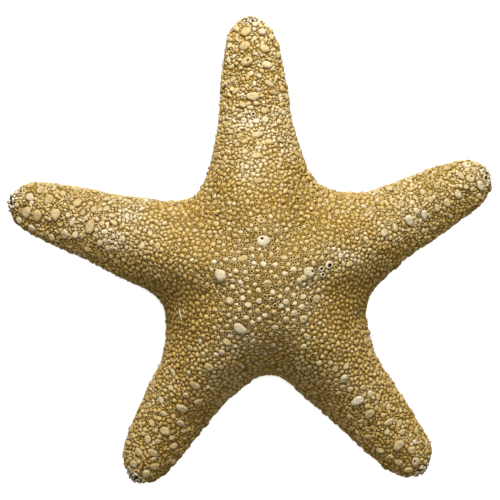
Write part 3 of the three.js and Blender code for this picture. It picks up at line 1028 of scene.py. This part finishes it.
def granule_material(name, tint):
    """Dry calcite grains: golden to worn white by tone, with painted shade at the foot, in holes and in
    pores, and a pale crest, partly worn and partly a painted highlight.
    """
    material, tree, shader = new_material(name)
    rise, tone, chance, pores = look_parts(tree)
    speck = noise(tree, SPECKS, 4.0, 0.7)
    blotch = noise(tree, BLOTCHES, 2.0)
    dots = math_node(tree, "MULTIPLY", pores, pore_shade_dots(tree, PORES, PORE_WIDTH))
    tone = math_node(tree, "ADD", tone, remap(tree, blotch, 0.3, 0.7, -0.14, 0.14))
    body = ramp(tree, tone, TONES)
    body = blend(tree, 1.0, body, tint, "MULTIPLY")
    body = blend(tree, remap(tree, chance, to_high=0.4), body, DULL, "MULTIPLY")
    body = blend(tree, remap(tree, speck, 0.42, 0.68, 0.0, 0.7), body, FLECK, "MULTIPLY")
    # Paler crest: partly wear, partly a painted highlight on each granule's top.
    body = blend(tree, remap(tree, rise, 0.65, 1.0, 0.0, 0.22), body, CREST_WEAR_AND_HIGHLIGHT)
    # Painted shade: darker at each granule's foot, in the crevices between granules.
    colour = blend(tree, remap(tree, rise, 0.0, 0.6), FOOT_SHADE, body)
    # Painted shade: near black in the holes of tubercles, slits and the crust's pores.
    colour = blend(tree, remap(tree, rise, -0.25, 0.42), HOLE_SHADE, colour)
    # Painted shade: dark round dots for pores on the crusted granules.
    colour = blend(tree, dots, colour, PORE_SHADE)
    set_surface(tree, shader, colour, remap(tree, speck, 0.3, 0.7, 0.6, 0.8), 0.08)
    bump(tree, speck, shader, 0.6, 0.0003)
    return material


def skin_material():
    """The dry skin between the granules: dark brown, partly its own colour and partly painted shade in
    the gaps, with pale grit, and painted black shade at the tips and in the mouth.
    """
    material, tree, shader = new_material("dried_skin")
    dark, *_ = look_parts(tree)
    grit = noise(tree, GRIT, 3.0, 0.7)
    patch = noise(tree, PATCHES, 3.0)
    # The ground's dark brown is partly the skin's own colour and partly painted shade in the gaps
    # between granules.
    ground = blend(tree, remap(tree, grit, 0.45, 0.66), GROUND, GROUND_PALE)
    ground = blend(tree, remap(tree, patch, 0.4, 0.7, 0.0, 0.5), ground, GROUND_WARM)
    # Painted shade: near black in the gaps at the tips and in the mouth.
    ground = blend(tree, dark, ground, GAP_SHADE)
    set_surface(tree, shader, ground, 0.85, 0.05)
    bump(tree, grit, shader, 0.8, 0.0004)
    return material


FLOOR_COLOUR = (0.93, 0.93, 0.925)
FLOOR_WIDTH = 6
FLOOR_GAP = 0.0002


def floor_material():
    """Matt near-white, and clear from below."""
    material, tree, shader = new_material("pale_floor")
    set_surface(tree, shader, (*FLOOR_COLOUR, 1), 0.9, 0.1)
    below = add(tree, "ShaderNodeNewGeometry").outputs["Backfacing"]
    clear = add(tree, "ShaderNodeBsdfTransparent").outputs["BSDF"]
    inputs = {"Fac": below, 1: shader.outputs["BSDF"], 2: clear}
    chooser = add(tree, "ShaderNodeMixShader", inputs)
    output = next(node for node in tree.nodes if node.type == "OUTPUT_MATERIAL")
    tree.links.new(chooser.outputs["Shader"], output.inputs["Surface"])
    return material


# Stage


def make_floor():
    bpy.ops.mesh.primitive_plane_add(size=FLOOR_WIDTH, location=(0, 0, -FLOOR_GAP))
    floor = bpy.context.object
    floor.name = "floor"
    floor.data.materials.append(floor_material())
    floor.visible_diffuse = False
    return floor


def make_light(name, kind, place, energy, lit, **settings):
    """A light aimed at the star's middle, for one group of things only."""
    data = bpy.data.lights.new(name, kind)
    data.energy = energy
    for key, value in settings.items():
        setattr(data, key, value)
    light = new_object(name, data)
    light.location = place
    light.rotation_euler = (-Vector(place)).to_track_quat("-Z", "Y").to_euler()
    light.visible_camera = False
    light.light_linking.receiver_collection = lit
    return light


KEY_PLACE = (0.0, 0.38, 0.30)
KEY_SIZE = 0.26
KEY_POWER = 4.2
UNDER_PLACE = (0.0, 0.15, -1.0)
UNDER_STRENGTH = 2.4
UNDER_ANGLE = 0.8
WASH_PLACE = (0.05, 0.1, 1.0)
WASH_STRENGTH = 4.2
WASH_ANGLE = 1.2
SKY_LOW = 0.12
SKY_HIGH = 0.78
SKY_SEEN = 0.95


def make_sky():
    """Light mostly from overhead, near white to the camera."""
    world = bpy.data.worlds.new("room")
    world.use_nodes = True
    tree = world.node_tree
    place = add(tree, "ShaderNodeTexCoord").outputs["Generated"]
    axes = add(tree, "ShaderNodeSeparateXYZ", {"Vector": place})
    light = remap(tree, axes.outputs["Z"], to_low=SKY_LOW, to_high=SKY_HIGH)
    seen = add(tree, "ShaderNodeLightPath").outputs["Is Camera Ray"]
    strength = add(tree, "ShaderNodeMix", {0: seen, 2: light, 3: SKY_SEEN}, data_type="FLOAT")
    inputs = {"Strength": strength.outputs[0], "Color": (1, 1, 1, 1)}
    set_inputs(tree, tree.nodes["Background"], inputs)
    bpy.context.scene.world = world


def make_lights(floor):
    """A soft light from the top of the photograph for the star, one from underneath for its
    mouth side, one for the floor, and a sky. Returns the group for the star's pieces."""
    star = bpy.data.collections.new("star")
    ground = bpy.data.collections.new("ground")
    ground.objects.link(floor)
    make_light("key", "AREA", KEY_PLACE, KEY_POWER, star, shape="DISK", size=KEY_SIZE)
    under = make_light("under", "SUN", UNDER_PLACE, UNDER_STRENGTH, star, angle=UNDER_ANGLE)
    under.light_linking.blocker_collection = star
    make_light("wash", "SUN", WASH_PLACE, WASH_STRENGTH, ground, angle=WASH_ANGLE)
    make_sky()
    bpy.context.scene.view_settings.view_transform = "Standard"
    return star


# The star


def dress(piece, material, lit):
    piece.data.materials.append(material)
    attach(piece, "root")
    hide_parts("starfish")
    lit.objects.link(piece)


def make_star(lit):
    skin = smooth_body(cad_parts["starfish"])
    shape_skin(skin)
    dress(skin, skin_material(), lit)
    surface = BVHTree.FromObject(skin, bpy.context.evaluated_depsgraph_get())
    bed = Bed(*scatter_spots(skin.data, 5))
    look = Look(bed)
    granule = granule_material("granule", PLAIN)
    worn = granule_material("worn_granule", WORN)

    def show(name, granules, shape, material=granule):
        dress(granule_mesh(name, granules, shape), material, lit)

    show("pinholed_tubercles", grow_at(bed, surface, PINHOLES), PINHOLED, worn)
    show("pierced_tubercles", grow_at(bed, surface, WIDE_HOLES), PIERCED, worn)
    show("tubercles", grow_at(bed, surface, PROMINENT), DOME, worn)
    beads = tuple((x, y, width, width, 0, tone) for x, y, width, tone in DISC_BEADS)
    show("disc_beads", grow_at(bed, surface, beads), ROUND)
    show("sieve_plate", grow_sieve_plate(bed, surface), OVAL)
    show("slits", grow_at(bed, surface, SLITS), SLIT)
    show("ovals", grow_ovals(bed, look), OVAL, worn)
    show("tip_plates", grow_tip_plates(bed, look), PLATE)
    show("round_granules", grow_beads(bed, look), BEAD)
    chips = grow_chips(bed, look)
    large = chips.columns()[4] > LARGE_CHIP
    show("large_chips", chips.pick(large), CHIP)
    show("small_chips", chips.pick(~large), PEBBLE)
    show("mouth_spines", grow_mouth_spines(bed, surface), BEAD)
    for name, row, shape in (
        ("ossicles", OSSICLES, PLATE), ("tube_feet", TUBE_FEET, PEBBLE),
        ("furrow_spines", FURROW_SPINES, BEAD), ("inner_spines", INNER_SPINES, BEAD),
        ("outer_spines", OUTER_SPINES, BEAD),
    ):
        show(name, grow_row(bed, surface, *row), shape)
    show("mouth_side_granules", grow_paving(bed, look), BEAD)
    for name, grow, shape in (
        ("crust_", grow_craters, CRATER), ("crumbs_", grow_crumbs, CRUMB), ("sand_", grow_sand, SAND)
    ):
        for arm, part in zip(ARM_NAMES, grow(bed, look).by_arm()):
            show(name + arm, part, shape)


make_camera()
make_star(make_lights(make_floor()))
